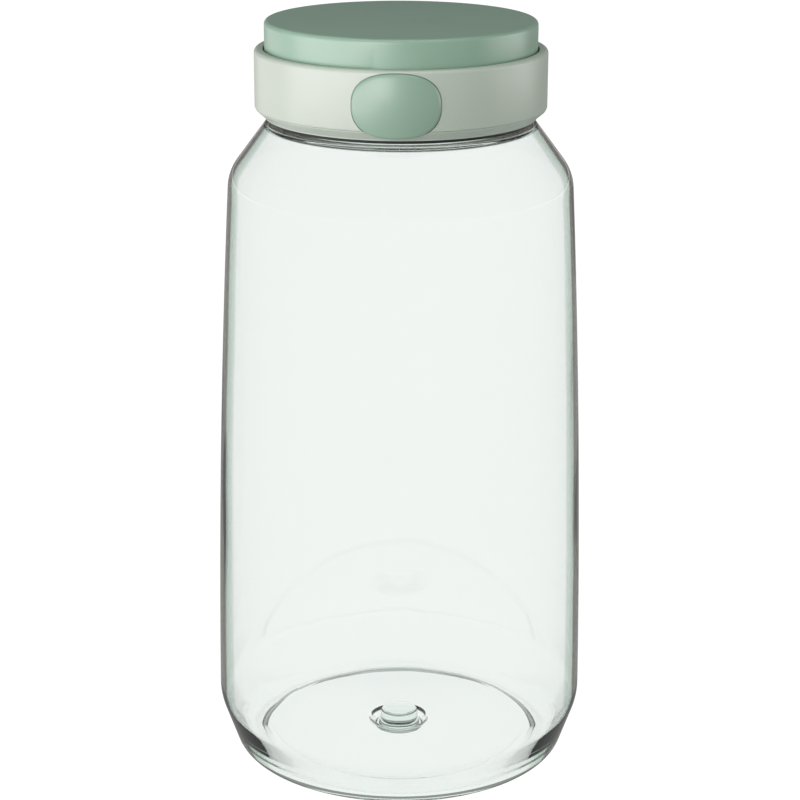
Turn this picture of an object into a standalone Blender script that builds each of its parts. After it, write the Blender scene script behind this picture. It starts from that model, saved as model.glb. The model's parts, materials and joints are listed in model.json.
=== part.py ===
"""Push-button flip-lid storage jar, modelled in metres with +Z up.

The jar stands on Z = 0 with its axis on the Z axis. The thumb button faces -Y and the
lid's hinge is at +Y. Every sub-part is one object in the collection flip_lid_jar; the
solids that only cut or add to them are in the collection cutters.
"""
import math

import bmesh
import bpy

# Overall size and the heights that everything else is measured from
TOTAL_HEIGHT = 0.2480
BAND_TOP = TOTAL_HEIGHT - 0.0089
BAND_BOTTOM = TOTAL_HEIGHT - 0.0275
LIP_BOTTOM = TOTAL_HEIGHT - 0.0307
SHELF_Z = TOTAL_HEIGHT - 0.0327
GAP = 0.0003

# Jar: outer radii of the moulded body
NECK_RADIUS = 0.0380
NECK_TOP = 0.2324
SHOULDER_TOP = (0.0443, TOTAL_HEIGHT - 0.0335)
WALL_TOP = (0.05563, TOTAL_HEIGHT - 0.04902)
WALL_MIDDLE_RADIUS = 0.05974
WALL_BOTTOM = (0.06165, TOTAL_HEIGHT - 0.22918)
HEEL_RADIUS = 0.0550
FOOT_RADII = (0.0478, 0.0505)
PUSH_UP_RADIUS = 0.0452
PUSH_UP_HEIGHT = 0.0026
BASE_CENTRE_HEIGHT = 0.0048
GATE_RADIUS = 0.0088
GATE_DEPTH = 0.0014
JAR_WALL = 0.0016

# Three-start thread between the neck and the collar
THREAD_STARTS = 3
THREAD_LEAD = 0.0120
THREAD_RIDGE = 0.00095
THREAD_TURNS = 0.6
THREAD_STEPS_PER_TURN = 30
NECK_THREAD_Z = 0.2202
NECK_THREAD_RADIUS = NECK_RADIUS + 0.0001
COLLAR_BORE = 0.0394
COLLAR_THREAD_RADIUS = COLLAR_BORE - 0.0001

# Collar and band
COLLAR_WALL_RADIUS = 0.0410
MOUTH_RADIUS = 0.0340
FLANGE_TOP = 0.2362
FLANGE_BOTTOM = 0.2342
FLANGE_RADIUS = 0.0446
SKIRT_RADIUS = 0.0466
LIP_RADIUS = 0.0437
BAND_RADIUS = 0.0468
BAND_BORE = 0.0450
BAND_RIM_BORE = 0.0439
BAND_EDGE = 0.0013

# Lid
LID_RADIUS = 0.0435
LID_WALL = 0.0015
LID_EDGE = 0.0014
LID_SKIRT_BOTTOM = 0.2366
LINER_TOP = 0.2461
LINER_BOTTOM = 0.2446
LINER_RADIUS = 0.0414
PLUG_BOTTOM = 0.2336

# Hinge, on an axis parallel to X
HINGE_Y = 0.0458
HINGE_Z = 0.2396
PIN_RADIUS = 0.0009
PIN_BORE = 0.00115
EAR_RADIUS = 0.0022
EAR_SPAN = (0.0063, 0.0090)
KNUCKLE_RADIUS = 0.0019
KNUCKLE_SPAN = (0.0033, 0.0059)

# Button: a squircle seen from the front, on a barrel-shaped crown
BUTTON_Z = 0.2283
BUTTON_HALF_WIDTH = 0.01365
BUTTON_HALF_HEIGHT = 0.0100
BUTTON_POWER = 2.45
BUTTON_FACE_Y = -0.0488
BUTTON_CROWN = 0.0300
BUTTON_BARREL = 0.0360
BUTTON_WALL = 0.0023
WINDOW_DEPTH_Y = -0.0415

# Latch slider and its springs
ARM_SPAN = (0.0044, 0.0064)
ARM_TOP = 0.2376
CROSSBAR_HALF_WIDTH = 0.0079
CROSSBAR_Y = (-0.0384, -0.0369)
CATCH_Z = 0.2390
CROSSBAR_TOP = 0.2406
SPRING_X = 0.0104
SPRING_Z = 0.2290
SPRING_Y = (-0.0434, -0.0397)
SPRING_COIL_RADIUS = 0.0018
SPRING_WIRE = 0.0002
SPRING_TURNS = 4

ROUND_STEPS = 60
JAR_STEPS = 48
ARC_TOLERANCE = 0.00012


def clear_scene():
    for item in list(bpy.data.objects):
        bpy.data.objects.remove(item, do_unlink=True)


def new_collection(name):
    collection = bpy.data.collections.new(name)
    bpy.context.scene.collection.children.link(collection)
    return collection


def new_material(name, color, roughness, transmission=0.0, metallic=0.0):
    material = bpy.data.materials.new(name)
    material.use_nodes = True
    shader = material.node_tree.nodes["Principled BSDF"]
    shader.inputs["Base Color"].default_value = (*color, 1.0)
    shader.inputs["Roughness"].default_value = roughness
    shader.inputs["Metallic"].default_value = metallic
    shader.inputs["Transmission Weight"].default_value = transmission
    material.diffuse_color = (*color, 1.0)
    return material


def place(item, collection, material=None):
    """Moves an object into its collection, shades it smooth and gives it its material."""
    for owner in list(item.users_collection):
        owner.objects.unlink(item)
    collection.objects.link(item)
    if collection.name == CUTTERS.name:
        item.hide_render = True
        item.display_type = "WIRE"
    if material:
        item.data.materials.append(material)
    item.data.shade_smooth()
    item.data.set_sharp_from_angle(angle=math.radians(35))
    return item


def rounded_outline(corners):
    """Turns (radius, z, fillet) corners into (radius, z) points, with each fillet as an arc."""
    points = []
    count = len(corners)
    for index, (x, z, fillet) in enumerate(corners):
        if fillet == 0:
            points.append((x, z))
            continue
        before = corners[(index - 1) % count]
        after = corners[(index + 1) % count]
        start_angle = math.atan2(before[1] - z, before[0] - x)
        end_angle = math.atan2(after[1] - z, after[0] - x)
        turn = (end_angle - start_angle + math.pi) % (2 * math.pi) - math.pi
        half = abs(turn) / 2
        middle = start_angle + turn / 2
        centre_distance = fillet / math.sin(half)
        centre = (x + centre_distance * math.cos(middle), z + centre_distance * math.sin(middle))
        sweep = math.pi - 2 * half
        widest_step = 2 * math.acos(1 - min(1, ARC_TOLERANCE / fillet))
        steps = max(1, math.ceil(sweep / widest_step))
        side = 1 if turn > 0 else -1
        for step in range(steps + 1):
            angle = middle + math.pi + side * sweep * (0.5 - step / steps)
            points.append((centre[0] + fillet * math.cos(angle), centre[1] + fillet * math.sin(angle)))
    return points


def turned(name, points, collection, material=None, closed=True, steps=ROUND_STEPS):
    """A turned piece: the outline runs down its outer side and back up its inner side."""
    mesh = bpy.data.meshes.new(name)
    edges = [(index, index + 1) for index in range(len(points) - 1)]
    if closed:
        edges.append((len(points) - 1, 0))
    mesh.from_pydata([(x, 0, z) for x, z in points], edges, [])
    item = bpy.data.objects.new(name, mesh)
    place(item, collection, material)
    screw = item.modifiers.new("Turn", "SCREW")
    screw.axis = "Z"
    screw.steps = steps
    screw.render_steps = steps
    screw.use_merge_vertices = True
    screw.merge_threshold = 0.00001
    screw.use_smooth_shade = True
    return item


def block(name, x_span, y_span, z_span, collection, material=None):
    bpy.ops.mesh.primitive_cube_add(size=1)
    item = bpy.context.object
    item.name = name
    item.data.name = name
    for vertex in item.data.vertices:
        vertex.co.x = sum(x_span) / 2 + vertex.co.x * (x_span[1] - x_span[0])
        vertex.co.y = sum(y_span) / 2 + vertex.co.y * (y_span[1] - y_span[0])
        vertex.co.z = sum(z_span) / 2 + vertex.co.z * (z_span[1] - z_span[0])
    return place(item, collection, material)


def rod(name, radius, start, end, collection, material=None, sides=24):
    """A cylinder along X or Y, from the point start to the point end."""
    length = math.dist(start, end)
    centre = [(a + b) / 2 for a, b in zip(start, end)]
    along_x = abs(end[0] - start[0]) > abs(end[1] - start[1])
    turn = (0, math.pi / 2, 0) if along_x else (math.pi / 2, 0, 0)
    bpy.ops.mesh.primitive_cylinder_add(
        vertices=sides, radius=radius, depth=length, location=centre, rotation=turn)
    item = bpy.context.object
    item.name = name
    item.data.name = name
    return place(item, collection, material)


def curve_to_mesh(curve_object, name, collection, material=None):
    """Makes a mesh object of a curve, with its caps welded, and removes the curve."""
    graph = bpy.context.evaluated_depsgraph_get()
    mesh = bpy.data.meshes.new_from_object(curve_object.evaluated_get(graph))
    mesh.name = name
    welder = bmesh.new()
    welder.from_mesh(mesh)
    bmesh.ops.remove_doubles(welder, verts=welder.verts, dist=0.00001)
    bmesh.ops.recalc_face_normals(welder, faces=welder.faces)
    welder.to_mesh(mesh)
    welder.free()
    item = bpy.data.objects.new(name, mesh)
    item.matrix_world = curve_object.matrix_world.copy()
    bpy.data.objects.remove(curve_object, do_unlink=True)
    return place(item, collection, material)


def wire(name, points, radius, resolution, collection, material=None, taper=None):
    """A round wire or ridge along points; taper gives each point's share of the radius."""
    curve = bpy.data.curves.new(name + "_path", "CURVE")
    curve.dimensions = "3D"
    curve.bevel_depth = radius
    curve.bevel_resolution = resolution
    curve.use_fill_caps = True
    spline = curve.splines.new("POLY")
    spline.points.add(len(points) - 1)
    for index, point in enumerate(points):
        spline.points[index].co = (*point, 1)
        spline.points[index].radius = taper[index] if taper else 1
    path = bpy.data.objects.new(name + "_path", curve)
    bpy.context.scene.collection.objects.link(path)
    bpy.context.view_layer.update()
    return curve_to_mesh(path, name, collection, material)


def squircle_block(name, margin, y_span, collection):
    """A block along Y with the button's outline, grown by margin."""
    curve = bpy.data.curves.new(name + "_outline", "CURVE")
    curve.dimensions = "2D"
    curve.fill_mode = "BOTH"
    curve.extrude = (y_span[1] - y_span[0]) / 2
    spline = curve.splines.new("POLY")
    count = 48
    spline.points.add(count - 1)
    for index in range(count):
        angle = 2 * math.pi * index / count
        across, up = math.cos(angle), math.sin(angle)
        reach = (abs(across) ** BUTTON_POWER + abs(up) ** BUTTON_POWER) ** (-1 / BUTTON_POWER)
        spline.points[index].co = (
            (BUTTON_HALF_WIDTH + margin) * reach * across,
            (BUTTON_HALF_HEIGHT + margin) * reach * up, 0, 1)
    spline.use_cyclic_u = True
    outline = bpy.data.objects.new(name + "_outline", curve)
    outline.rotation_euler = (math.pi / 2, 0, 0)
    outline.location = (0, sum(y_span) / 2, BUTTON_Z)
    bpy.context.scene.collection.objects.link(outline)
    bpy.context.view_layer.update()
    return curve_to_mesh(outline, name, collection)


def combine(item, other, operation):
    modifier = item.modifiers.new(other.name, "BOOLEAN")
    modifier.operation = operation
    modifier.solver = "EXACT"
    modifier.object = other


def cut(item, *others):
    for other in others:
        combine(item, other, "DIFFERENCE")


def join(item, *others):
    for other in others:
        combine(item, other, "UNION")


def mirrored_span(span, side):
    return tuple(sorted((side * span[0], side * span[1])))


def thread_ridges(item, prefix, radius, first_z):
    """Joins one thread ridge for each start to a wall, with both ends tapering into it."""
    steps = round(THREAD_TURNS * THREAD_STEPS_PER_TURN)
    for start in range(THREAD_STARTS):
        points = []
        taper = []
        for step in range(steps + 1):
            turn = step / THREAD_STEPS_PER_TURN
            angle = 2 * math.pi * (turn + start / THREAD_STARTS)
            points.append((radius * math.cos(angle), radius * math.sin(angle),
                           first_z + THREAD_LEAD * turn))
            taper.append(min(1, 0.35 + min(step, steps - step) / 4))
        join(item, wire(f"{prefix}_ridge_{start}", points, THREAD_RIDGE, 1, CUTTERS, None, taper))


def jar_body():
    wall = []
    for step in range(7):
        share = step / 6
        bow = 4 * share * (1 - share)
        straight = WALL_TOP[0] + (WALL_BOTTOM[0] - WALL_TOP[0]) * share
        middle = WALL_MIDDLE_RADIUS - (WALL_TOP[0] + WALL_BOTTOM[0]) / 2
        wall.append((straight + middle * bow, WALL_TOP[1] + (WALL_BOTTOM[1] - WALL_TOP[1]) * share))
    corners = [
        (NECK_RADIUS, NECK_TOP, 0),
        (NECK_RADIUS, SHELF_Z, 0.0008),
        (SHOULDER_TOP[0] - 0.0008, SHELF_Z, 0.0010),
        (*wall[0], 0.0148),
        *[(*point, 0) for point in wall[1:-1]],
        (*wall[-1], 0.0197),
        (HEEL_RADIUS, 0, 0.0055),
        (FOOT_RADII[0], 0, 0.0010),
        (PUSH_UP_RADIUS, PUSH_UP_HEIGHT, 0.0020),
        (GATE_RADIUS, BASE_CENTRE_HEIGHT, 0),
        (GATE_RADIUS - 0.0006, BASE_CENTRE_HEIGHT - GATE_DEPTH, 0),
        (0, BASE_CENTRE_HEIGHT - GATE_DEPTH, 0),
    ]
    jar = turned("jar_body", rounded_outline(corners), PARTS, CLEAR_PLASTIC, closed=False, steps=JAR_STEPS)
    shell = jar.modifiers.new("Wall", "SOLIDIFY")
    shell.thickness = JAR_WALL
    shell.offset = -1
    shell.use_even_offset = True
    thread_ridges(jar, "neck", NECK_THREAD_RADIUS, NECK_THREAD_Z)
    return jar


def neck_gasket():
    corners = [
        (NECK_RADIUS - JAR_WALL, NECK_TOP + GAP, 0),
        (NECK_RADIUS - JAR_WALL, FLANGE_BOTTOM - GAP, 0),
        (NECK_RADIUS + 0.0008, FLANGE_BOTTOM - GAP, 0),
        (NECK_RADIUS + 0.0008, NECK_TOP + GAP, 0),
    ]
    return turned("neck_gasket", rounded_outline(corners), PARTS, SILICONE)


def collar_ring(window):
    """Threaded ring with the flange that holds the lid's seal and the bevelled lower lip."""
    bevel_top = BAND_BOTTOM - GAP
    corners = [
        (MOUTH_RADIUS, FLANGE_TOP, 0.0003),
        (FLANGE_RADIUS, FLANGE_TOP, 0),
        (FLANGE_RADIUS, FLANGE_BOTTOM, 0),
        (COLLAR_WALL_RADIUS, FLANGE_BOTTOM, 0),
        (COLLAR_WALL_RADIUS, bevel_top, 0),
        (SKIRT_RADIUS, bevel_top, 0),
        (SKIRT_RADIUS, bevel_top - 0.0002, 0),
        (LIP_RADIUS, LIP_BOTTOM + 0.0003, 0),
        (LIP_RADIUS, LIP_BOTTOM, 0),
        (COLLAR_BORE, LIP_BOTTOM, 0),
        (COLLAR_BORE, FLANGE_BOTTOM, 0),
        (MOUTH_RADIUS, FLANGE_BOTTOM, 0),
    ]
    collar = turned("collar_ring", rounded_outline(corners), PARTS, PALE_GREEN)
    cut(collar, window)
    for side in (-1, 1):
        pocket = rod(f"spring_pocket_{side}", 0.0026, (side * SPRING_X, -0.0460, SPRING_Z),
                     (side * SPRING_X, SPRING_Y[1] + GAP, SPRING_Z), CUTTERS)
        cut(collar, pocket)
        guide = block(f"guide_{side}", mirrored_span((ARM_SPAN[1] + GAP, CROSSBAR_HALF_WIDTH), side),
                      (-0.0404, CROSSBAR_Y[0] - GAP), (FLANGE_TOP - 0.0005, ARM_TOP), CUTTERS)
        join(collar, guide)
    thread_ridges(collar, "collar", COLLAR_THREAD_RADIUS, NECK_THREAD_Z + THREAD_LEAD / THREAD_STARTS / 2)
    return collar


def outer_band(window):
    """Decorative sleeve with the button's window and the two hinge ears."""
    corners = [
        (BAND_RIM_BORE, BAND_TOP, 0.0003),
        (BAND_RADIUS, BAND_TOP, BAND_EDGE),
        (BAND_RADIUS, BAND_BOTTOM, 0.0003),
        (BAND_BORE, BAND_BOTTOM, 0),
        (BAND_BORE, FLANGE_TOP + GAP, 0),
        (BAND_RIM_BORE, FLANGE_TOP + GAP, 0),
    ]
    band = turned("outer_band", rounded_outline(corners), PARTS, PALE_GREEN)
    notch = block("knuckle_notch", (-EAR_SPAN[0] + 0.0002, EAR_SPAN[0] - 0.0002),
                  (0.0400, 0.0500), (FLANGE_TOP + 0.0002, 0.2450), CUTTERS)
    pin_clearance = block("pin_clearance", (-0.0103, 0.0103), (0.0400, 0.0500),
                          (HINGE_Z - 0.0018, 0.2450), CUTTERS)
    cut(band, window, pin_clearance)
    for side in (-1, 1):
        span = mirrored_span(EAR_SPAN, side)
        root = block(f"ear_root_{side}", span, (BAND_BORE - 0.0004, HINGE_Y + EAR_RADIUS),
                     (0.2340, HINGE_Z), CUTTERS)
        ear = rod(f"ear_{side}", EAR_RADIUS, (span[0], HINGE_Y, HINGE_Z),
                  (span[1], HINGE_Y, HINGE_Z), CUTTERS)
        join(band, root, ear)
    bore = rod("ear_bore", PIN_BORE, (-0.0120, HINGE_Y, HINGE_Z), (0.0120, HINGE_Y, HINGE_Z), CUTTERS)
    cut(band, notch, bore)
    return band


def hinge_pin():
    reach = EAR_SPAN[1] + GAP + 0.0005
    pin = rod("hinge_pin", PIN_RADIUS, (-reach, HINGE_Y, HINGE_Z), (reach, HINGE_Y, HINGE_Z), PARTS, STEEL)
    for side in (-1, 1):
        span = mirrored_span((EAR_SPAN[1] + GAP, reach + 0.0001), side)
        head = rod(f"pin_head_{side}", PIN_RADIUS + 0.0006, (span[0], HINGE_Y, HINGE_Z),
                   (span[1], HINGE_Y, HINGE_Z), CUTTERS)
        join(pin, head)
    return pin


def hinge_spring():
    """Torsion coil round the pin; one leg lifts the lid and the other stands on the flange."""
    coil_radius = 0.00155
    half_width = 0.0022
    first = math.radians(90)
    sweep = math.radians(150 + 3 * 360)
    steps = 34
    points = [(-half_width, HINGE_Y - 0.0033, HINGE_Z + coil_radius)]
    for step in range(steps + 1):
        angle = first - sweep * step / steps
        points.append((-half_width + 2 * half_width * step / steps,
                       HINGE_Y + coil_radius * math.cos(angle), HINGE_Z + coil_radius * math.sin(angle)))
    heading = (math.sin(angle), -math.cos(angle))
    foot_length = 0.0026
    points.append((half_width, points[-1][1] + foot_length * heading[0],
                   points[-1][2] + foot_length * heading[1]))
    return wire("hinge_spring", points, 0.00022, 1, PARTS, STEEL)


def lid_cover():
    """Outer cap: a flat disc with a skirt that nests in the band, and two hinge knuckles."""
    corners = [
        (0, TOTAL_HEIGHT, 0),
        (LID_RADIUS, TOTAL_HEIGHT, LID_EDGE),
        (LID_RADIUS, LID_SKIRT_BOTTOM, 0),
        (LID_RADIUS - LID_WALL, LID_SKIRT_BOTTOM, 0),
        (LID_RADIUS - LID_WALL, TOTAL_HEIGHT - LID_WALL - 0.0001, 0),
        (0, TOTAL_HEIGHT - LID_WALL - 0.0001, 0),
    ]
    lid = turned("lid_cover", rounded_outline(corners), PARTS, SAGE, closed=False)
    arm_notch = block("arm_notch", (-ARM_SPAN[1] - 0.0006, ARM_SPAN[1] + 0.0006), (-0.0500, -0.0400),
                      (0.2350, ARM_TOP + GAP), CUTTERS)
    spring_pocket = block("hinge_spring_pocket", (-0.0030, 0.0030), (0.0400, 0.0447),
                          (HINGE_Z - 0.0017, HINGE_Z + 0.0021), CUTTERS)
    for side in (-1, 1):
        span = mirrored_span(KNUCKLE_SPAN, side)
        arm = block(f"knuckle_arm_{side}", span, (LID_RADIUS - 0.0010, HINGE_Y - 0.0001),
                    (HINGE_Z - 0.0017, HINGE_Z + 0.0017), CUTTERS)
        knuckle = rod(f"knuckle_{side}", KNUCKLE_RADIUS, (span[0], HINGE_Y, HINGE_Z),
                      (span[1], HINGE_Y, HINGE_Z), CUTTERS)
        join(lid, arm, knuckle)
    bore = rod("knuckle_bore", PIN_BORE, (-0.0110, HINGE_Y, HINGE_Z), (0.0110, HINGE_Y, HINGE_Z),
               CUTTERS, sides=18)
    cut(lid, bore, arm_notch, spring_pocket)
    return lid


def lid_liner():
    """Inner plate under the cap, with the plug that carries the seal and the latch hook."""
    corners = [
        (0, LINER_TOP, 0),
        (LINER_RADIUS, LINER_TOP, 0),
        (LINER_RADIUS, LINER_BOTTOM, 0),
        (0.0332, LINER_BOTTOM, 0),
        (0.0332, 0.2379, 0),
        (0.0320, 0.2379, 0),
        (0.0320, 0.2348, 0),
        (0.0330, 0.2348, 0),
        (0.0330, PLUG_BOTTOM, 0),
        (0.0305, PLUG_BOTTOM, 0),
        (0.0305, LINER_BOTTOM, 0),
        (0, LINER_BOTTOM, 0),
    ]
    liner = turned("lid_liner", rounded_outline(corners), PARTS, WHITE, closed=False)
    half_width = ARM_SPAN[0] - 0.0005
    tongue = block("hook_tongue", (-half_width, half_width), (-0.0413, -0.0402),
                   (FLANGE_TOP + 0.0007, LINER_BOTTOM + 0.0005), CUTTERS)
    barb = block("hook_barb", (-half_width, half_width), (-0.0405, -0.0390),
                 (FLANGE_TOP + 0.0010, CATCH_Z - GAP), CUTTERS)
    join(tongue, barb)
    join(liner, tongue)
    return liner


def lid_seal():
    corners = [
        (0.0323, 0.2376, 0),
        (0.0334, 0.2376, 0),
        (0.0337, 0.2364, 0),
        (0.0337, 0.2356, 0),
        (0.0332, 0.2351, 0),
        (0.0323, 0.2351, 0),
    ]
    return turned("lid_seal", rounded_outline(corners), PARTS, SILICONE)


def button_cap():
    """Thumb button: the squircle outline cut from a barrel-shaped shell."""
    axis_y = BUTTON_FACE_Y + BUTTON_CROWN
    outer = []
    inner = []
    for step in range(7):
        height = (step / 3 - 1) * -0.0120
        sag = height ** 2 / (2 * BUTTON_BARREL)
        outer.append((BUTTON_CROWN - sag, BUTTON_Z + height))
        inner.append((BUTTON_CROWN - BUTTON_WALL, BUTTON_Z + height))
    shell = turned("button_shell", outer + [inner[-1], inner[0]], CUTTERS, steps=96)
    shell.location.y = axis_y
    button = squircle_block("button_cap", 0, (-0.0520, -0.0360), PARTS)
    button.data.materials.append(SAGE_LIGHT)
    combine(button, shell, "INTERSECT")
    return button


def latch_slider():
    """Plate behind the button, two arms over the flange, and the crossbar with its catch."""
    plate = block("latch_slider", (-0.0076, 0.0076), (-0.0447, -0.0437), (0.2220, 0.2355), PARTS, WHITE)
    boss = block("slider_boss", (-0.0030, 0.0030), (-0.0460, -0.0440), (0.2250, 0.2320), CUTTERS)
    crossbar = block("slider_crossbar", (-CROSSBAR_HALF_WIDTH, CROSSBAR_HALF_WIDTH), CROSSBAR_Y,
                     (FLANGE_TOP + GAP, CROSSBAR_TOP), CUTTERS)
    half_width = ARM_SPAN[0] - 0.0006
    catch = block("slider_catch", (-half_width, half_width), (-0.0399, CROSSBAR_Y[0] + 0.0005),
                  (CATCH_Z, CROSSBAR_TOP), CUTTERS)
    join(plate, boss)
    for side in (-1, 1):
        span = mirrored_span(ARM_SPAN, side)
        riser = block(f"slider_riser_{side}", span, (-0.0447, -0.0437), (0.2350, ARM_TOP), CUTTERS)
        arm = block(f"slider_arm_{side}", span, (-0.0440, CROSSBAR_Y[0] + 0.0005),
                    (FLANGE_TOP + GAP, ARM_TOP), CUTTERS)
        join(plate, riser, arm)
    join(plate, crossbar, catch)
    return plate


def button_spring(name, side):
    steps = SPRING_TURNS * 10
    length = SPRING_Y[1] - SPRING_Y[0] - 2 * SPRING_WIRE
    points = []
    for step in range(steps + 1):
        angle = 2 * math.pi * step / 10
        points.append((side * SPRING_X + SPRING_COIL_RADIUS * math.cos(angle),
                       SPRING_Y[0] + SPRING_WIRE + length * step / steps,
                       SPRING_Z + SPRING_COIL_RADIUS * math.sin(angle)))
    return wire(name, points, SPRING_WIRE, 1, PARTS, STEEL)


def build():
    window = squircle_block("button_window", GAP, (-0.0520, WINDOW_DEPTH_Y), CUTTERS)
    jar_body()
    neck_gasket()
    collar_ring(window)
    outer_band(window)
    hinge_pin()
    hinge_spring()
    lid_cover()
    lid_liner()
    lid_seal()
    button_cap()
    latch_slider()
    button_spring("button_spring_left", -1)
    button_spring("button_spring_right", 1)


clear_scene()
PARTS = new_collection("flip_lid_jar")
CUTTERS = new_collection("cutters")
CLEAR_PLASTIC = new_material("clear_plastic", (0.90, 0.95, 0.92), 0.05, transmission=0.95)
PALE_GREEN = new_material("pale_green_plastic", (0.60, 0.68, 0.60), 0.38)
SAGE = new_material("sage_plastic", (0.30, 0.43, 0.33), 0.40)
SAGE_LIGHT = new_material("sage_button_plastic", (0.33, 0.47, 0.36), 0.38)
WHITE = new_material("white_inner_plastic", (0.80, 0.81, 0.79), 0.45)
SILICONE = new_material("silicone", (0.78, 0.80, 0.77), 0.60)
STEEL = new_material("spring_steel", (0.62, 0.63, 0.64), 0.30, metallic=1.0)
build()
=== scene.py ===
"""Looks of the push-button flip-lid storage jar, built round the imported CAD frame."""
import json
import math

import bmesh
import bpy
from mathutils import Matrix, Vector, noise


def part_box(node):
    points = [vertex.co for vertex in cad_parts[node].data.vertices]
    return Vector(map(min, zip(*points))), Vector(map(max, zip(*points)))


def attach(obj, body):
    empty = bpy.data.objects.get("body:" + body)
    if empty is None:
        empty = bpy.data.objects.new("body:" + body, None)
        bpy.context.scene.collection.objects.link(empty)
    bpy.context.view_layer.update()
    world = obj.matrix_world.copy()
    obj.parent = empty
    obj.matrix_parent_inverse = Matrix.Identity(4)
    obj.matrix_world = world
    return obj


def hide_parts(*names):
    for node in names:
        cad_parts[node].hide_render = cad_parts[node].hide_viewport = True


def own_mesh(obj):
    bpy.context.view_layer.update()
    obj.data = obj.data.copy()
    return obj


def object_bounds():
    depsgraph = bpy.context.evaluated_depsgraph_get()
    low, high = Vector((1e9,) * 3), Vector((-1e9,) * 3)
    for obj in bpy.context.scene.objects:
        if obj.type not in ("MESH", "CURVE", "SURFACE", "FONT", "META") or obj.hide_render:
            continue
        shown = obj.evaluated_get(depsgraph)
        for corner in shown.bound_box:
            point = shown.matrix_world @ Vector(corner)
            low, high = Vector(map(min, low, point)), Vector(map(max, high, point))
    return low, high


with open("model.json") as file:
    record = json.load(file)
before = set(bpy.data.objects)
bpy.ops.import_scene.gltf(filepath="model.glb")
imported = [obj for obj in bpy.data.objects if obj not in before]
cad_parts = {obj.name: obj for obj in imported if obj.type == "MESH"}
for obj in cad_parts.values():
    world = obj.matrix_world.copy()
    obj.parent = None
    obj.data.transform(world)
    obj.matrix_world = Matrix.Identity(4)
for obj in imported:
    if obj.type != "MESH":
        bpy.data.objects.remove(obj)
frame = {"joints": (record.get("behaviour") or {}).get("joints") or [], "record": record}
CAD_LOW, CAD_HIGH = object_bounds()
TAU = 2 * math.pi


def joint(name):
    return next(row for row in frame["joints"] if row["name"] == name)


# Read from the frame, in metres
TOTAL_HEIGHT = CAD_HIGH.z
NECK_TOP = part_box("jar_body")[1].z
BAND_LOW, BAND_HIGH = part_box("outer_band")
COLLAR_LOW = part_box("collar_ring")[0]
LID_LOW, LID_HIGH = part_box("lid_cover")
LINER_LOW, LINER_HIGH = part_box("lid_liner")
SEAL_LOW, SEAL_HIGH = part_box("lid_seal")
GASKET_LOW, GASKET_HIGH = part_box("neck_gasket")
BUTTON_LOW, BUTTON_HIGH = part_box("button_cap")
SLIDER_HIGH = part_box("latch_slider")[1]
PIN_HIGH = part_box("hinge_pin")[1]
HINGE = Vector(joint("lid_hinge")["pos_m"])
THREAD_LEAD = frame["record"]["behaviour"]["couplings"][0]["ratio"] * TAU

# Studio and camera
VIEW_AZIMUTH, VIEW_PITCH, VIEW_ROLL = math.radians(1.8), math.radians(17.61), math.radians(0.18)
VIEW_DISTANCE = 0.7276
VIEW_HEIGHT = TOTAL_HEIGHT + 0.1043
FLOOR_RADIUS, CARD_RADIUS, DOME_RADIUS = 4.0, 3.0, 12.0
FLOOR_GLOW = 1.0
WORLD_STRENGTH = 0.20
LAMP_TARGET = (0, 0, 0.23)

# Jar outline
NECK_RADIUS = 0.0380
JAR_WALL = 0.0016
SHELF_Z = TOTAL_HEIGHT - 0.0327
SHOULDER_TOP = (0.0443, TOTAL_HEIGHT - 0.0335)
WALL_TOP = (0.05563, TOTAL_HEIGHT - 0.04902)
WALL_MIDDLE_RADIUS = 0.05974
WALL_BOTTOM = (0.06165, TOTAL_HEIGHT - 0.22918)
HEEL_RADIUS = 0.0550
FOOT_RADIUS = 0.0478
THREAD_STARTS = 3
THREAD_TURNS = 0.6
NECK_THREAD_Z = 0.2202
RIDGE_HEIGHT = 0.00105
RIDGE_HALF_WIDTH = 0.00095
JAR_STEPS = 256
OUTLINE_SPACING = 0.0030
WALL_PARTS = 24

# Closure
COLLAR_BORE = 0.0394
COLLAR_WALL_RADIUS = 0.0410
MOUTH_RADIUS = 0.0340
FLANGE_TOP = 0.2362
FLANGE_BOTTOM = 0.2342
FLANGE_RADIUS = 0.0446
SKIRT_RADIUS = 0.0466
LIP_RADIUS = 0.0437
BAND_RADIUS = 0.0468
BAND_BORE = 0.0450
BAND_RIM_BORE = 0.0439
LID_RADIUS = LID_HIGH.x
LID_WALL = 0.0015
BUTTON_POWER = 2.45
BUTTON_CROWN = 0.0300
BUTTON_BARREL = 0.0360
BUTTON_WALL = 0.0023
SEAM = 0.0001
GAP = 0.0003
ARM_TOP = 0.2376
WINDOW_FRONT, WINDOW_BACK = -0.0520, -0.0415
SPRING_X, SPRING_Z = 0.0104, 0.2290
PIN_RADIUS, PIN_HEAD_RADIUS, PIN_BORE_RADIUS = 0.0009, 0.0015, 0.00115
LINER_UNDER = 0.2446
LINER_OVERLAP = 0.0005


def smooth(low, high, value):
    share = min(1, max(0, (value - low) / (high - low)))
    return share * share * (3 - 2 * share)


# ---------------------------------------------------------------- mesh tools

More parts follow.
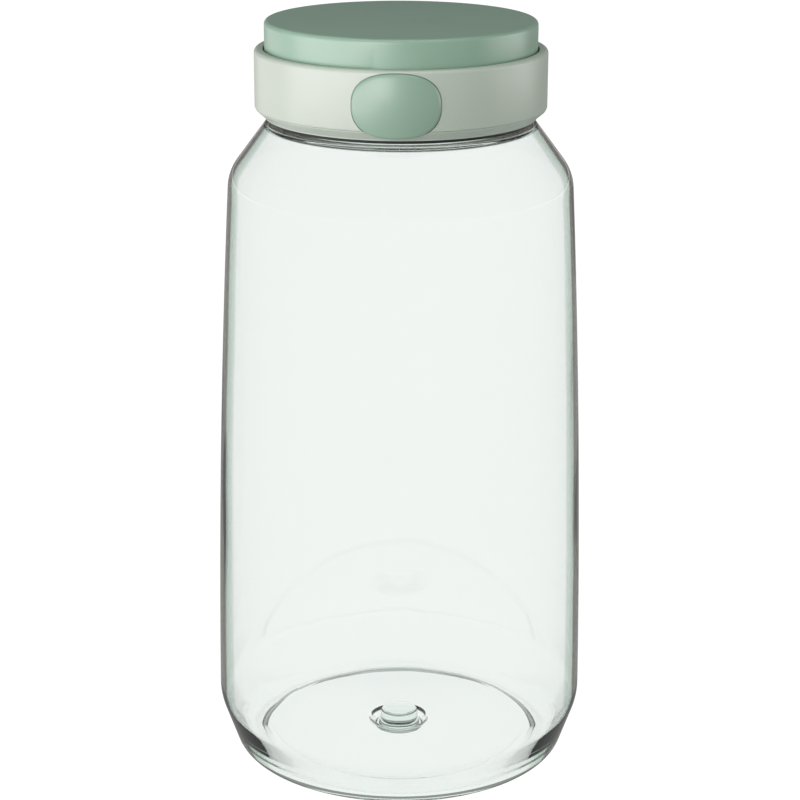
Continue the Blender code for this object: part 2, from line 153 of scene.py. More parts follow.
def rounded_outline(corners, tolerance=0.000008):
    """Turns (radius, z, fillet) corners into (radius, z) points, with each fillet as an arc."""
    points = []
    count = len(corners)
    for index, (x, z, fillet) in enumerate(corners):
        if fillet == 0:
            points.append((x, z))
            continue
        before = corners[(index - 1) % count]
        after = corners[(index + 1) % count]
        start_angle = math.atan2(before[1] - z, before[0] - x)
        end_angle = math.atan2(after[1] - z, after[0] - x)
        turn = (end_angle - start_angle + math.pi) % TAU - math.pi
        half = abs(turn) / 2
        middle = start_angle + turn / 2
        reach = fillet / math.sin(half)
        centre = (x + reach * math.cos(middle), z + reach * math.sin(middle))
        sweep = math.pi - 2 * half
        steps = max(2, math.ceil(sweep / (2 * math.acos(1 - tolerance / fillet))))
        side = 1 if turn > 0 else -1
        for step in range(steps + 1):
            angle = middle + math.pi + side * sweep * (0.5 - step / steps)
            points.append((centre[0] + fillet * math.cos(angle), centre[1] + fillet * math.sin(angle)))
    return points


def resampled(points, spacing):
    """Adds points along long straight stretches, so that no edge is longer than spacing."""
    result = [points[0]]
    for (x0, z0), (x1, z1) in zip(points, points[1:]):
        parts = max(1, math.ceil(math.hypot(x1 - x0, z1 - z0) / spacing))
        for part in range(1, parts + 1):
            result.append((x0 + (x1 - x0) * part / parts, z0 + (z1 - z0) * part / parts))
    return result


def new_object(name, mesh):
    item = bpy.data.objects.new(name, mesh)
    bpy.context.scene.collection.objects.link(item)
    return item


def built(name, maker):
    """The object that a finished bmesh becomes."""
    mesh = bpy.data.meshes.new(name)
    maker.to_mesh(mesh)
    maker.free()
    return new_object(name, mesh)


def lathe(name, outline, steps=192, closed=True, shape=None):
    """Turns (radius, z) points about Z. shape(index, radius, z, angle) may move a point."""
    maker = bmesh.new()
    rows = []
    for index, (radius, z) in enumerate(outline):
        if radius < 1e-7:
            rows.append([maker.verts.new((0, 0, z))])
            continue
        row = []
        for step in range(steps):
            angle = TAU * step / steps
            r, h = shape(index, radius, z, angle) if shape else (radius, z)
            row.append(maker.verts.new((r * math.cos(angle), r * math.sin(angle), h)))
        rows.append(row)
    pairs = list(zip(rows, rows[1:]))
    if closed:
        pairs.append((rows[-1], rows[0]))
    for upper, lower in pairs:
        for step in range(steps):
            after = (step + 1) % steps
            corners = [upper[step % len(upper)], lower[step % len(lower)],
                       lower[after % len(lower)], upper[after % len(upper)]]
            face = list(dict.fromkeys(corners))
            if len(face) > 2:
                maker.faces.new(face)
    bmesh.ops.recalc_face_normals(maker, faces=maker.faces)
    return shaded(built(name, maker))


def shaded(item, angle=32):
    item.data.shade_smooth()
    item.data.set_sharp_from_angle(angle=math.radians(angle))
    return item


def block(name, low, high, bevel=0.0, segments=3):
    """A box between two corners, with its edges rounded by bevel."""
    maker = bmesh.new()
    bmesh.ops.create_cube(maker, size=1)
    for vertex in maker.verts:
        for axis in range(3):
            vertex.co[axis] = (low[axis] + high[axis]) / 2 + vertex.co[axis] * (high[axis] - low[axis])
    if bevel:
        bmesh.ops.bevel(maker, geom=maker.edges[:], offset=bevel, segments=segments,
                        profile=0.5, affect="EDGES")
    return shaded(built(name, maker))


def rod_x(name, radius, x_low, x_high, edge=0.0, sides=64):
    """A cylinder along X on the hinge axis, with rounded ends."""
    outline = [(0, x_high, 0), (radius, x_high, edge), (radius, x_low, edge), (0, x_low, 0)]
    item = lathe(name, rounded_outline(outline), sides, closed=False)
    item.data.transform(Matrix.Translation((0, HINGE.y, HINGE.z)) @ Matrix.Rotation(math.pi / 2, 4, "Y"))
    return item


def rod_y(name, radius, x, z, y_low, y_high, sides=48):
    item = lathe(name, [(0, y_high), (radius, y_high), (radius, y_low), (0, y_low)], sides, closed=False)
    item.data.transform(Matrix.Translation((x, 0, z)) @ Matrix.Rotation(-math.pi / 2, 4, "X"))
    return item


def combined(item, others, operation):
    """Applies a Boolean with each of the other objects, and removes them."""
    for other in others:
        modifier = item.modifiers.new("Boolean", "BOOLEAN")
        modifier.operation = operation
        modifier.solver = "EXACT"
        modifier.object = other
        graph = bpy.context.evaluated_depsgraph_get()
        mesh = bpy.data.meshes.new_from_object(item.evaluated_get(graph))
        item.modifiers.clear()
        item.data = mesh
        bpy.data.objects.remove(other, do_unlink=True)
    return shaded(item)


def cut(item, *others):
    return combined(item, others, "DIFFERENCE")


def join(item, *others):
    return combined(item, others, "UNION")


def wire(name, points, radius, sides=12):
    """A round wire swept along points, closed at both ends."""
    maker = bmesh.new()
    path = [Vector(p) for p in points]
    heading = (path[1] - path[0]).normalized()
    side = heading.orthogonal().normalized()
    rings = []
    for index, point in enumerate(path):
        ahead = (path[min(index + 1, len(path) - 1)] - path[max(index - 1, 0)]).normalized()
        side = (side - ahead * side.dot(ahead)).normalized()
        up = ahead.cross(side)
        rings.append([maker.verts.new(point + radius * (math.cos(TAU * k / sides) * side
                                                        + math.sin(TAU * k / sides) * up))
                      for k in range(sides)])
    for ring, following in zip(rings, rings[1:]):
        for k in range(sides):
            maker.faces.new((ring[k], ring[(k + 1) % sides], following[(k + 1) % sides], following[k]))
    maker.faces.new(rings[0])
    maker.faces.new(rings[-1])
    bmesh.ops.recalc_face_normals(maker, faces=maker.faces)
    return shaded(built(name, maker), 60)


def squircle(across, up, half_width, half_height):
    """Point of the button's outline in the direction (across, up)."""
    reach = (abs(across) ** BUTTON_POWER + abs(up) ** BUTTON_POWER) ** (-1 / BUTTON_POWER)
    return half_width * reach * across, half_height * reach * up


def ridge(z, angle, first_z):
    """Height from 0 to 1 of the three-start thread's ridges at a height and angle."""
    best = 0.0
    for start in range(THREAD_STARTS):
        turn = (angle / TAU - start / THREAD_STARTS) % 1.0
        if turn > THREAD_TURNS:
            continue
        off = abs(z - (first_z + THREAD_LEAD * turn))
        ends = smooth(0, 0.05, turn) * smooth(0, 0.05, THREAD_TURNS - turn)
        best = max(best, ends * (1 - smooth(0.25 * RIDGE_HALF_WIDTH, 1.15 * RIDGE_HALF_WIDTH, off)))
    return best


# ---------------------------------------------------------------- materials

def node_setup(name):
    material = bpy.data.materials.new(name)
    material.use_nodes = True
    nodes = material.node_tree.nodes
    links = material.node_tree.links
    return material, nodes, links, nodes["Principled BSDF"]


def noise_node(nodes, links, coords, scale, detail=2.0, roughness=0.5):
    texture = nodes.new("ShaderNodeTexNoise")
    texture.inputs["Scale"].default_value = scale
    texture.inputs["Detail"].default_value = detail
    texture.inputs["Roughness"].default_value = roughness
    links.new(coords, texture.inputs["Vector"])
    return texture.outputs["Fac"]


def ranged(nodes, links, value, low, high, from_low=0.3, from_high=0.7):
    node = nodes.new("ShaderNodeMapRange")
    node.inputs["From Min"].default_value = from_low
    node.inputs["From Max"].default_value = from_high
    node.inputs["To Min"].default_value = low
    node.inputs["To Max"].default_value = high
    links.new(value, node.inputs["Value"])
    return node.outputs["Result"]


def mixed(nodes, links, factor, first, second):
    node = nodes.new("ShaderNodeMix")
    node.data_type = "RGBA"
    node.inputs["A"].default_value = (*first, 1)
    node.inputs["B"].default_value = (*second, 1)
    links.new(factor, node.inputs["Factor"])
    return node.outputs["Result"]


def moulded_plastic(name, color, roughness, variation=0.035, grain=0.000006):
    """Opaque moulded plastic: faint tone drift, uneven gloss and a fine moulding grain."""
    material, nodes, links, shader = node_setup(name)
    coords = nodes.new("ShaderNodeTexCoord").outputs["Object"]
    drift = noise_node(nodes, links, coords, 28, 3)
    darker = tuple(channel * (1 - variation) for channel in color)
    lighter = tuple(min(1, channel * (1 + variation)) for channel in color)
    tone = mixed(nodes, links, ranged(nodes, links, drift, 0, 1), darker, lighter)
    links.new(tone, shader.inputs["Base Color"])
    gloss = noise_node(nodes, links, coords, 90, 4, 0.6)
    links.new(ranged(nodes, links, gloss, roughness - 0.02, roughness + 0.02), shader.inputs["Roughness"])
    fine = noise_node(nodes, links, coords, 1100, 2)
    bump = nodes.new("ShaderNodeBump")
    bump.inputs["Strength"].default_value = 0.12
    bump.inputs["Distance"].default_value = grain
    links.new(fine, bump.inputs["Height"])
    links.new(bump.outputs["Normal"], shader.inputs["Normal"])
    shader.inputs["IOR"].default_value = 1.5
    shader.inputs["Specular IOR Level"].default_value = 0.7
    return material


# Painted shade on the jar's outer skin by the angle it is seen at, from face-on (0) to edge-on (1): the dark
# stops paint the dark edges that glass gets from its surroundings
PAINTED_EDGE_SHADE_STOPS = [
    (0.640, (0.942, 0.953, 0.948)),
    (0.672, (0.52, 0.62, 0.55)),
    (0.760, (0.36, 0.47, 0.40)),
    (0.785, (0.040, 0.033, 0.027)),
    (0.900, (0.060, 0.050, 0.042)),
    (1.000, (0.16, 0.14, 0.12)),
]


def clear_plastic(name):
    """Clear PET: faint green in the thickness, dark edges painted by Layer Weight as painted shade, and a
    soft ripple.
    """
    material, nodes, links, shader = node_setup(name)
    coords = nodes.new("ShaderNodeTexCoord").outputs["Object"]
    shader.inputs["Transmission Weight"].default_value = 1.0
    shader.inputs["IOR"].default_value = 1.52
    stretch = nodes.new("ShaderNodeMapping")
    stretch.inputs["Scale"].default_value = (1, 1, 0.22)
    links.new(coords, stretch.inputs["Vector"])
    flow = noise_node(nodes, links, stretch.outputs["Vector"], 160, 3)
    links.new(ranged(nodes, links, flow, 0.0, 0.012), shader.inputs["Roughness"])
    # Painted shade: Layer Weight's facing turns the outer skin's colour near-black towards the jar's edges
    facing = nodes.new("ShaderNodeLayerWeight")
    facing.inputs["Blend"].default_value = 0.5
    waver = nodes.new("ShaderNodeMath")
    links.new(facing.outputs["Facing"], waver.inputs[0])
    unevenness = noise_node(nodes, links, stretch.outputs["Vector"], 70, 3)
    links.new(ranged(nodes, links, unevenness, -0.012, 0.012), waver.inputs[1])
    ramp = nodes.new("ShaderNodeValToRGB")
    stops = ramp.color_ramp.elements
    stops[0].position, stops[0].color = PAINTED_EDGE_SHADE_STOPS[0][0], (*PAINTED_EDGE_SHADE_STOPS[0][1], 1)
    stops[1].position, stops[1].color = PAINTED_EDGE_SHADE_STOPS[-1][0], (*PAINTED_EDGE_SHADE_STOPS[-1][1], 1)
    for position, color in PAINTED_EDGE_SHADE_STOPS[1:-1]:
        stops.new(position).color = (*color, 1)
    links.new(waver.outputs["Value"], ramp.inputs["Fac"])
    skin = nodes.new("ShaderNodeAttribute")
    skin.attribute_name = "outer_skin"
    painted_edge_shade = nodes.new("ShaderNodeMix")
    painted_edge_shade.data_type = "RGBA"
    painted_edge_shade.inputs["A"].default_value = (*PAINTED_EDGE_SHADE_STOPS[0][1], 1)
    links.new(skin.outputs["Fac"], painted_edge_shade.inputs["Factor"])
    links.new(ramp.outputs["Color"], painted_edge_shade.inputs["B"])
    links.new(painted_edge_shade.outputs["Result"], shader.inputs["Base Color"])
    ripple = noise_node(nodes, links, stretch.outputs["Vector"], 55, 2)
    bump = nodes.new("ShaderNodeBump")
    bump.inputs["Strength"].default_value = 0.08
    bump.inputs["Distance"].default_value = 0.0002
    links.new(ripple, bump.inputs["Height"])
    links.new(bump.outputs["Normal"], shader.inputs["Normal"])
    volume = nodes.new("ShaderNodeVolumeAbsorption")
    volume.inputs["Color"].default_value = (0.50, 0.74, 0.60, 1)
    volume.inputs["Density"].default_value = 26.0
    links.new(volume.outputs["Volume"], nodes["Material Output"].inputs["Volume"])
    return material


def silicone(name, low=(0.72, 0.75, 0.72), high=(0.80, 0.82, 0.80)):
    material, nodes, links, shader = node_setup(name)
    coords = nodes.new("ShaderNodeTexCoord").outputs["Object"]
    cloud = noise_node(nodes, links, coords, 120, 3)
    color = mixed(nodes, links, ranged(nodes, links, cloud, 0, 1), low, high)
    links.new(color, shader.inputs["Base Color"])
    links.new(ranged(nodes, links, cloud, 0.45, 0.6), shader.inputs["Roughness"])
    shader.inputs["Subsurface Weight"].default_value = 0.25
    shader.inputs["Subsurface Radius"].default_value = (0.002, 0.002, 0.002)
    shader.inputs["Subsurface Scale"].default_value = 0.5
    return material


def drawn_steel(name):
    material, nodes, links, shader = node_setup(name)
    coords = nodes.new("ShaderNodeTexCoord").outputs["Object"]
    streaks = noise_node(nodes, links, coords, 1500, 3)
    color = mixed(nodes, links, ranged(nodes, links, streaks, 0, 1), (0.52, 0.53, 0.54), (0.66, 0.67, 0.68))
    links.new(color, shader.inputs["Base Color"])
    links.new(ranged(nodes, links, streaks, 0.2, 0.38), shader.inputs["Roughness"])
    shader.inputs["Metallic"].default_value = 1.0
    return material


def finish_piece(item, material, body, node):
    item.data.materials.clear()
    item.data.materials.append(material)
    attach(item, body)
    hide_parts(node)
    if node != "jar_body":
        LIT.objects.link(item)
    return item


# ---------------------------------------------------------------- pieces

def wall_curve(depth):
    """Points down the slightly bulged wall, that far inside its outer face."""
    wall = []
    for step in range(WALL_PARTS + 1):
        share = step / WALL_PARTS
        straight = WALL_TOP[0] + (WALL_BOTTOM[0] - WALL_TOP[0]) * share
        middle = WALL_MIDDLE_RADIUS - (WALL_TOP[0] + WALL_BOTTOM[0]) / 2
        wall.append((straight + middle * 4 * share * (1 - share) - depth,
                     WALL_TOP[1] + (WALL_BOTTOM[1] - WALL_TOP[1]) * share))
    return wall


def jar_outline():
    """Outer outline from the neck's land down to the middle of the base."""
    wall = wall_curve(0)
    corners = [
        (NECK_RADIUS, NECK_TOP, 0.0003),
        (NECK_RADIUS, SHELF_Z, 0.0008),
        (SHOULDER_TOP[0] - 0.0008, SHELF_Z, 0.0010),
        (*wall[0], 0.0148),
        *[(*point, 0) for point in wall[2:-2]],
        (*wall[-1], 0.0180),
        (HEEL_RADIUS, 0, 0.0055),
        (FOOT_RADIUS, 0, 0.0010),
        (0.0446, 0.0026, 0.0030),
        (0.0098, 0.0048, 0.0010),
        (0.0076, 0.0020, 0.0010),
        (0, 0.0020, 0),
    ]
    return rounded_outline([(NECK_RADIUS - JAR_WALL, NECK_TOP, 0)] + corners)[1:]


def jar_inner_outline():
    """Inner outline from the middle of the floor up to the neck's bore."""
    wall = wall_curve(JAR_WALL)
    corners = [
        (0, 0.0094, 0),
        (0.0060, 0.0094, 0.0012),
        (0.0066, 0.0042, 0.0006),
        (0.0080, 0.0042, 0.0006),
        (0.0094, 0.0064, 0.0010),
        (0.0440, 0.0048, 0.0080),
        (0.0485, 0.0022, 0.0050),
        (0.0528, 0.0022, 0.0046),
        (WALL_BOTTOM[0] - JAR_WALL, WALL_BOTTOM[1], 0.0170),
        *[(*point, 0) for point in reversed(wall[2:-2])],
        (wall[0][0], wall[0][1] - 0.0004, 0.0136),
        (SHOULDER_TOP[0] - 0.0018, SHELF_Z - 0.0016, 0.0016),
        (NECK_RADIUS - JAR_WALL, SHELF_Z - 0.0016, 0.0022),
        (NECK_RADIUS - JAR_WALL, NECK_TOP, 0.0004),
    ]
    return rounded_outline(corners + [(NECK_RADIUS, NECK_TOP, 0)])[:-1]


def make_jar():
    outer = resampled(jar_outline(), OUTLINE_SPACING)
    neck = [(NECK_RADIUS, NECK_TOP - 0.0004 - 0.00026 * step) for step in range(1, 62)]
    shelf_start = next(i for i, (_, z) in enumerate(outer) if z < neck[-1][1])
    rim = [point for point in outer[:shelf_start] if point[1] > NECK_TOP - 0.00035]
    outer = rim + neck + outer[shelf_start:]
    inner = resampled(jar_inner_outline(), OUTLINE_SPACING)
    split = len(outer)

    def shape(index, radius, z, angle):
        if index < split:
            if z > SHELF_Z + 0.001:
                radius += RIDGE_HEIGHT * ridge(z, angle, NECK_THREAD_Z)
            return min(radius, CAD_HIGH.x), z
        if z < 0.012 or z > SHELF_Z - 0.004:
            return radius, z
        fade = smooth(0.012, 0.045, z) * (1 - smooth(SHELF_Z - 0.040, SHELF_Z - 0.004, z))
        place = Vector((2.2 * math.cos(angle), 2.2 * math.sin(angle), z * 16))
        streak = Vector((7 * math.cos(angle), 7 * math.sin(angle), z * 30 + 9))
        swell = 0.00016 * noise.noise(place) + 0.00005 * noise.noise(streak)
        return radius + fade * swell, z

    jar = lathe("jar_shell", outer + inner, JAR_STEPS, shape=shape)
    skin = jar.data.attributes.new("outer_skin", "FLOAT", "POINT")
    outer_count = sum(JAR_STEPS if radius > 1e-7 else 1 for radius, _ in outer)
    for index in range(outer_count):
        skin.data[index].value = 1.0
    return finish_piece(jar, clear_plastic("clear_pet"), "jar", "jar_body")


def window_block(name, margin, y_low, y_high, count=96):
    """A solid along Y with the button's outline, grown by margin."""
    maker = bmesh.new()
    centre_z = (BUTTON_LOW.z + BUTTON_HIGH.z) / 2
    half_width = BUTTON_HIGH.x + margin
    half_height = (BUTTON_HIGH.z - BUTTON_LOW.z) / 2 + margin
    rings = []
    for y in (y_low, y_high):
        ring = []
        for k in range(count):
            x, z = squircle(math.cos(TAU * k / count), math.sin(TAU * k / count), half_width, half_height)
            ring.append(maker.verts.new((x, y, centre_z + z)))
        rings.append(ring)
    for k in range(count):
        after = (k + 1) % count
        maker.faces.new((rings[0][k], rings[0][after], rings[1][after], rings[1][k]))
    maker.faces.new(rings[0])
    maker.faces.new(rings[1])
    bmesh.ops.recalc_face_normals(maker, faces=maker.faces)
    return built(name, maker)


def make_collar(material):
    top = BAND_LOW.z - 0.00004
    corners = [
        (MOUTH_RADIUS, FLANGE_TOP, 0.0003),
        (FLANGE_RADIUS, FLANGE_TOP, 0.0003),
        (FLANGE_RADIUS, FLANGE_BOTTOM, 0.0003),
        (COLLAR_WALL_RADIUS, FLANGE_BOTTOM, 0.0005),
        (COLLAR_WALL_RADIUS, top, 0.0005),
        (SKIRT_RADIUS, top, 0.0002),
        (SKIRT_RADIUS - 0.0001, top - 0.0004, 0.0003),
        (LIP_RADIUS, COLLAR_LOW.z + 0.0004, 0.0004),
        (LIP_RADIUS, COLLAR_LOW.z, 0.0002),
        (COLLAR_BORE, COLLAR_LOW.z, 0.0003),
    ]
    bore_top = FLANGE_BOTTOM - 0.0004
    bore = [(COLLAR_BORE, COLLAR_LOW.z + (bore_top - COLLAR_LOW.z) * step / 62)
            for step in range(63)]
    rest = [(COLLAR_BORE, FLANGE_BOTTOM), (MOUTH_RADIUS + 0.0002, FLANGE_BOTTOM),
            (MOUTH_RADIUS, FLANGE_BOTTOM + 0.0002)]
    outline = rounded_outline(corners)
    first_bore = len(outline)
    thread_z = NECK_THREAD_Z + THREAD_LEAD / THREAD_STARTS / 2

    def shape(index, radius, z, angle):
        if first_bore <= index < first_bore + len(bore):
            radius -= RIDGE_HEIGHT * ridge(z, angle, thread_z)
        return radius, z

    collar = lathe("collar_core", outline + bore + rest, 192, shape=shape)
    window = window_block("window", SEAM, WINDOW_FRONT, WINDOW_BACK)
    pockets = [rod_y(f"pocket_{side}", 0.0026, side * SPRING_X, SPRING_Z, -0.0460, -0.0394)
               for side in (-1, 1)]
    cut(collar, window, *pockets)
    guides = [block(f"guide_{side}", (min(side * 0.0067, side * 0.0079), -0.0404, FLANGE_TOP - 0.0005),
                    (max(side * 0.0067, side * 0.0079), -0.0387, ARM_TOP), 0.0002) for side in (-1, 1)]
    join(collar, *guides)
    return finish_piece(collar, material, "collar", "collar_ring")


def make_band(material):
    top = TOTAL_HEIGHT - 0.0089
    corners = [
        (BAND_RIM_BORE, top, 0.0004),
        (BAND_RADIUS, top, 0.0013),
        (BAND_RADIUS, BAND_LOW.z, 0.0003),
        (BAND_BORE, BAND_LOW.z, 0.0002),
        (BAND_BORE, FLANGE_TOP + GAP, 0.0003),
        (BAND_RIM_BORE, FLANGE_TOP + GAP, 0.0002),
    ]
    band = lathe("band_sleeve", rounded_outline(corners), 256)
    window = window_block("window", SEAM, WINDOW_FRONT, WINDOW_BACK)
    clearance = block("pin_clearance", (-0.0103, 0.0400, HINGE.z - 0.0018), (0.0103, 0.0500, 0.2450))
    cut(band, window, clearance)
    for side in (-1, 1):
        x_low, x_high = sorted((side * 0.0063, side * 0.0090))
        root = block(f"ear_root_{side}", (x_low, BAND_BORE - 0.0004, 0.2340), (x_high, BAND_HIGH.y, HINGE.z))
        ear = rod_x(f"ear_{side}", 0.0022, x_low, x_high)
        join(band, root, ear)
    notch = block("knuckle_notch", (-0.0061, 0.0400, FLANGE_TOP + 0.0002), (0.0061, 0.0500, 0.2450))
    cut(band, notch, rod_x("ear_bore", PIN_BORE_RADIUS, -0.0120, 0.0120))
    return finish_piece(band, material, "collar", "outer_band")


def make_lid_cap(material):
    corners = [
        (0, TOTAL_HEIGHT, 0),
        (LID_RADIUS, TOTAL_HEIGHT, 0.0014),
        (LID_RADIUS, LID_LOW.z, 0.0002),
        (LID_RADIUS - LID_WALL, LID_LOW.z, 0.0002),
        (LID_RADIUS - LID_WALL, TOTAL_HEIGHT - LID_WALL - 0.0001, 0.0010),
        (0, TOTAL_HEIGHT - LID_WALL - 0.0001, 0),
    ]
    lid = lathe("lid_cap", rounded_outline(corners), 256, closed=False)
    for side in (-1, 1):
        x_low, x_high = sorted((side * 0.0033, side * 0.0059))
        arm = block(f"arm_{side}", (x_low, LID_RADIUS - 0.0010, HINGE.z - 0.0017),
                    (x_high, HINGE.y - 0.0001, HINGE.z + 0.0017))
        join(lid, arm, rod_x(f"knuckle_{side}", 0.0019, x_low, x_high))
    cut(lid, rod_x("bore", PIN_BORE_RADIUS, -0.0110, 0.0110, sides=50),
        block("arm_notch", (-0.0070, -0.0500, 0.2350), (0.0070, -0.0400, 0.2385)),
        block("spring_pocket", (-0.0030, 0.0400, HINGE.z - 0.0017), (0.0030, 0.0447, HINGE.z + 0.0021)))
    return finish_piece(lid, material, "lid", "lid_cover")


def make_lid_inner(material):
    corners = [
        (0, LINER_HIGH.z, 0),
        (LINER_HIGH.x, LINER_HIGH.z, 0.0003),
        (LINER_HIGH.x, LINER_UNDER, 0.0003),
        (0.0332, LINER_UNDER, 0.0004),
        (0.0332, 0.2379, 0.0002),
        (0.0320, 0.2379, 0.0001),
        (0.0320, 0.2348, 0.0001),
        (0.0330, 0.2348, 0.0002),
        (0.0330, LINER_LOW.z, 0.0003),
        (0.0305, LINER_LOW.z, 0.0003),
        (0.0305, LINER_UNDER, 0.0006),
        (0, LINER_UNDER, 0),
    ]
    liner = lathe("lid_inner", rounded_outline(corners), 192, closed=False)
    root = LINER_UNDER + LINER_OVERLAP
    ribs = []
    for index in range(8):
        rib = block(f"rib_{index}", (0.0090, -0.0006, 0.2400), (0.0308, 0.0006, root), 0.0002)
        rib.data.transform(Matrix.Rotation(TAU * index / 8, 4, "Z"))
        ribs.append(rib)
    hub = lathe("hub", rounded_outline([(0.0080, root, 0), (0.0095, root, 0),
                                        (0.0095, 0.2396, 0.0003), (0.0080, 0.2396, 0.0003)]), 96)
    tongue = block("tongue", (-0.0039, -0.0413, 0.2369), (0.0039, -0.0402, root))
    barb = block("barb", (-0.0039, -0.0405, 0.2372), (0.0039, -0.0390, 0.2387))
    join(liner, hub, *ribs, tongue, barb)
    return finish_piece(liner, material, "lid", "lid_liner")


def make_rings(material):
    seal_corners = [
        (0.0323, SEAL_HIGH.z, 0.0002),
        (0.0333, SEAL_HIGH.z, 0.0002),
        (0.0334, 0.2369, 0.0002),
        (SEAL_HIGH.x, 0.2366, 0.0002),
        (SEAL_HIGH.x, 0.2361, 0.0002),
        (0.0333, 0.2359, 0.0002),
        (0.0336, 0.2355, 0.0002),
        (0.0333, SEAL_LOW.z, 0.0002),
        (0.0323, SEAL_LOW.z, 0.0002),
    ]
    seal = lathe("plug_seal", rounded_outline(seal_corners), 192)
    finish_piece(seal, material, "lid", "lid_seal")
    inner = NECK_RADIUS - JAR_WALL
    gasket_corners = [
        (inner, GASKET_LOW.z, 0.0003),
        (inner, GASKET_HIGH.z, 0.0003),
        (GASKET_HIGH.x, GASKET_HIGH.z, 0.0003),
        (GASKET_HIGH.x, GASKET_LOW.z, 0.0003),
    ]
    gasket = lathe("neck_ring_seal", rounded_outline(gasket_corners), 192)
    finish_piece(gasket, material, "gasket", "neck_gasket")


def make_painted_shade_ring(material):
    """Painted shade: a near-black ring put in the shadow gap between the collar's lip and the jar's shelf,
    where there is only shade.
    """
    top = COLLAR_LOW.z - 0.00005
    corners = [(COLLAR_BORE + 0.0002, top, 0.0002), (0.0427, top, 0.0002),
               (0.0424, top - 0.0011, 0.0003), (COLLAR_BORE + 0.0002, top - 0.0011, 0.0003)]
    ring = lathe("painted_shade_ring", rounded_outline(corners), 192)
    ring.data.materials.append(material)
    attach(ring, "collar")
    LIT.objects.link(ring)


def make_button(material):
    """Thumb button: rings of the squircle outline, domed, with a rounded edge and a hollow back."""
    centre_z = (BUTTON_LOW.z + BUTTON_HIGH.z) / 2
    half_width = BUTTON_HIGH.x
    half_height = (BUTTON_HIGH.z - BUTTON_LOW.z) / 2
    edge = 0.0010
    face_y = BUTTON_LOW.y

    def face(x, z):
        return face_y + BUTTON_CROWN - math.sqrt((BUTTON_CROWN - z * z / (2 * BUTTON_BARREL)) ** 2 - x * x)

    rings = []
    for share in [k / 14 for k in range(1, 15)]:
        rings.append((share * (1 - edge / half_height), 0.0))
    for step in range(1, 9):
        angle = math.pi / 2 * step / 8
        rings.append((1 - edge / half_height * (1 - math.sin(angle)), edge * (1 - math.cos(angle))))
    rings.append((1, BUTTON_WALL))
    back = [(1 - 0.0003 / half_height, BUTTON_WALL + 0.0002)]
    back += [(share, BUTTON_WALL + 0.0002) for share in (0.75, 0.5, 0.25)]
    maker = bmesh.new()
    count = 120
    loops = []
    for index, (share, depth) in enumerate(rings + back):
        loop = []
        for k in range(count):
            x, z = squircle(math.cos(TAU * k / count), math.sin(TAU * k / count), half_width, half_height)
            inset = (1 - share) * half_height
            length = math.hypot(x, z)
            if share < 0.86:
                x, z = x * share, z * share
            else:
                x, z = x * (1 - inset / length), z * (1 - inset / length)
            flat = face_y + BUTTON_CROWN - math.sqrt((BUTTON_CROWN - BUTTON_WALL) ** 2 - x * x)
            y = face(x, z) + depth if index < len(rings) - 1 else flat
            loop.append(maker.verts.new((x, min(y, BUTTON_HIGH.y), centre_z + z)))
        loops.append(loop)
    for ring, following in zip(loops, loops[1:]):
        for k in range(count):
            after = (k + 1) % count
            maker.faces.new((ring[k], following[k], following[after], ring[after]))
    front = maker.verts.new((0, face_y, centre_z))
    rear = maker.verts.new((0, face_y + BUTTON_WALL, centre_z))
    for k in range(count):
        after = (k + 1) % count
        maker.faces.new((front, loops[0][k], loops[0][after]))
        maker.faces.new((rear, loops[-1][after], loops[-1][k]))
    bmesh.ops.recalc_face_normals(maker, faces=maker.faces)
    button = shaded(built("thumb_button", maker), 50)
    return finish_piece(button, material, "button", "button_cap")


def make_slider(material):
    plate = block("latch_carriage", (-0.0076, -0.0447, 0.2220), (0.0076, -0.0437, 0.2355))
    parts = [block("boss", (-0.0030, -0.0460, 0.2250), (0.0030, -0.0440, 0.2320))]
    for side in (-1, 1):
        x_low, x_high = sorted((side * 0.0044, side * 0.0064))
        parts.append(block("riser", (x_low, -0.0447, 0.2350), (x_high, -0.0437, ARM_TOP)))
        parts.append(block("arm", (x_low, -0.0440, FLANGE_TOP + GAP), (x_high, -0.0379, ARM_TOP)))
    parts.append(block("crossbar", (-0.0079, -0.0384, FLANGE_TOP + GAP), (0.0079, -0.0369, SLIDER_HIGH.z)))
    parts.append(block("catch", (-0.0038, -0.0399, 0.2390), (0.0038, -0.0379, SLIDER_HIGH.z)))
    join(plate, *parts)
    return finish_piece(plate, material, "button", "latch_slider")


def make_metal(material):
    reach = PIN_HIGH.x
    pin = rod_x("pivot_pin", PIN_RADIUS, -reach, reach, 0.0002)
    heads = [rod_x(f"head_{side}", PIN_HEAD_RADIUS, *sorted((side * 0.0093, side * reach)), 0.0002)
             for side in (-1, 1)]
    join(pin, *heads)
    finish_piece(pin, material, "collar", "hinge_pin")
    coil, half_width, sweep = 0.00155, 0.0022, math.radians(150 + 3 * 360)
    points = [(-half_width, HINGE.y - 0.0033, HINGE.z + coil),
              (-half_width, HINGE.y - 0.0004, HINGE.z + coil)]
    for step in range(121):
        angle = math.pi / 2 - sweep * step / 120
        points.append((-half_width + 2 * half_width * step / 120,
                       HINGE.y + coil * math.cos(angle), HINGE.z + coil * math.sin(angle)))
    _, leg_y, leg_z = points[-1]
    points.append((half_width, leg_y + 0.0026 * math.sin(angle), leg_z - 0.0026 * math.cos(angle)))
    torsion = wire("lid_torsion_spring", points, 0.00022)
    finish_piece(torsion, material, "collar", "hinge_spring")
    for name, side in (("button_spring_left", -1), ("button_spring_right", 1)):
        low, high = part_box(name)
        radius, thickness = 0.0018, 0.0002
        steps = 160
        coils = []
        for step in range(steps + 1):
            angle = TAU * 4 * step / steps
            coils.append((side * SPRING_X + radius * math.cos(angle),
                          low.y + thickness + (high.y - low.y - 2 * thickness) * step / steps,
                          SPRING_Z + radius * math.sin(angle)))
        spring = wire(name.replace("button", "return"), coils, thickness)
        finish_piece(spring, material, "collar", name)
        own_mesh(spring)


# ---------------------------------------------------------------- studio

